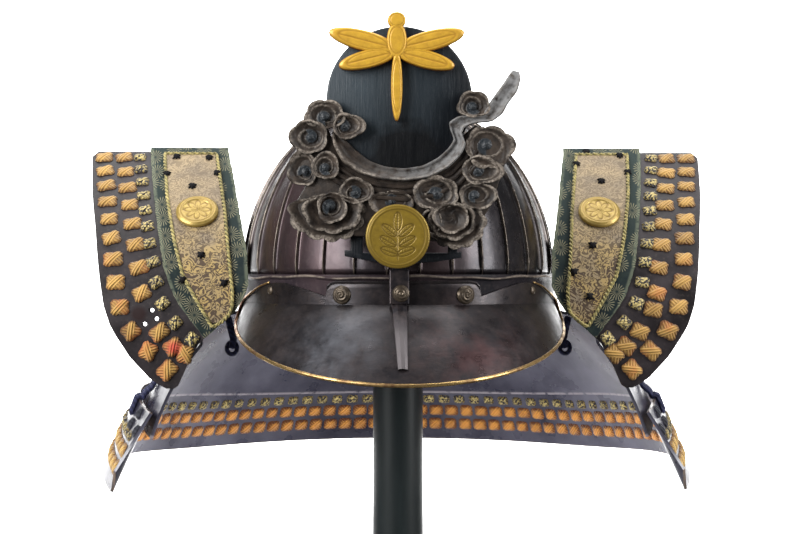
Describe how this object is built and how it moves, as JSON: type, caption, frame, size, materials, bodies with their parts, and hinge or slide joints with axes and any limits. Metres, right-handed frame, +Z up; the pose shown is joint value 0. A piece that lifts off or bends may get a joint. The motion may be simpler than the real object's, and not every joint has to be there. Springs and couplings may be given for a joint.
{
  "type": "samurai helmet on stand",
  "caption": "Ridged plate helmet with drooping visor, turned-back knotted wings, laced two-row neck guard and carved disc crest, on a plain post stand.",
  "frame": {"origin": "centre of the underside of the stand's base", "axes": "+Z up, -Y towards the helmet's front, +X to the right as seen from the front"},
  "size_m": [0.425, 0.3848, 0.387],
  "materials": {
    "russet_steel": "old lacquered steel, satin, worn pale on ridges",
    "gilt_wire": "worn brass",
    "bronze": "dark patinated bronze",
    "black_lacquer": "gloss lacquer over hide and iron",
    "disc_lacquer": "black lacquered wood with grain",
    "carved_wood": "carved wood, worn lacquer",
    "gilt_wood": "gilt on wood",
    "gilt_metal": "gilt copper",
    "printed_leather": "printed deerskin",
    "teal_cloth": "brocade",
    "green_braid": "twisted silk cord",
    "orange_silk": "flat silk braid",
    "speckled_silk": "yellow silk braid flecked with black",
    "indigo_silk": "flat silk braid",
    "stand_black": "black painted wood, satin"
  },
  "bodies": {
    "root": {"base_band": "russet_steel", "bowl": "russet_steel", "corner_cord_left": "indigo_silk", "corner_cord_right": "indigo_silk", "crest_clouds": "carved_wood", "crest_disc": "disc_lacquer", "crest_figure": "gilt_wood", "crest_foot": "carved_wood", "crest_holder": "bronze", "crest_medallion": "gilt_metal", "crown_ring": "gilt_wire", "ear_rivet_left": "bronze", "ear_rivet_right": "bronze", "lace_1": "indigo_silk", "lace_2": "indigo_silk", "lace_3": "indigo_silk", "lace_4": "indigo_silk", "lace_5": "indigo_silk", "lace_6": "indigo_silk", "lace_7": "indigo_silk", "lace_8": "indigo_silk", "lace_9": "indigo_silk", "lame_knots_inside_bottom": "orange_silk", "lame_knots_inside_middle": "orange_silk", "lame_knots_inside_top": "speckled_silk", "lame_knots_outside_bottom": "orange_silk", "lame_knots_outside_middle": "orange_silk", "lame_knots_outside_top": "speckled_silk", "lower_lame": "black_lacquer", "rivet_centre": "bronze", "rivet_left": "bronze", "rivet_right": "bronze", "stand_base": "stand_black", "stand_head": "stand_black", "stand_post": "stand_black", "upper_lame": "black_lacquer", "visor": "russet_steel", "visor_rim": "gilt_wire", "wing_border_left": "teal_cloth", "wing_border_right": "teal_cloth", "wing_boss_left": "gilt_metal", "wing_boss_right": "gilt_metal", "wing_braid_left": "green_braid", "wing_braid_right": "green_braid", "wing_knots_left_inner": "speckled_silk", "wing_knots_left_middle": "orange_silk", "wing_knots_left_outer": "orange_silk", "wing_knots_right_inner": "speckled_silk", "wing_knots_right_middle": "orange_silk", "wing_knots_right_outer": "orange_silk", "wing_leather_left": "printed_leather", "wing_leather_right": "printed_leather", "wing_left": "black_lacquer", "wing_right": "black_lacquer"}
  },
  "joints": []
}
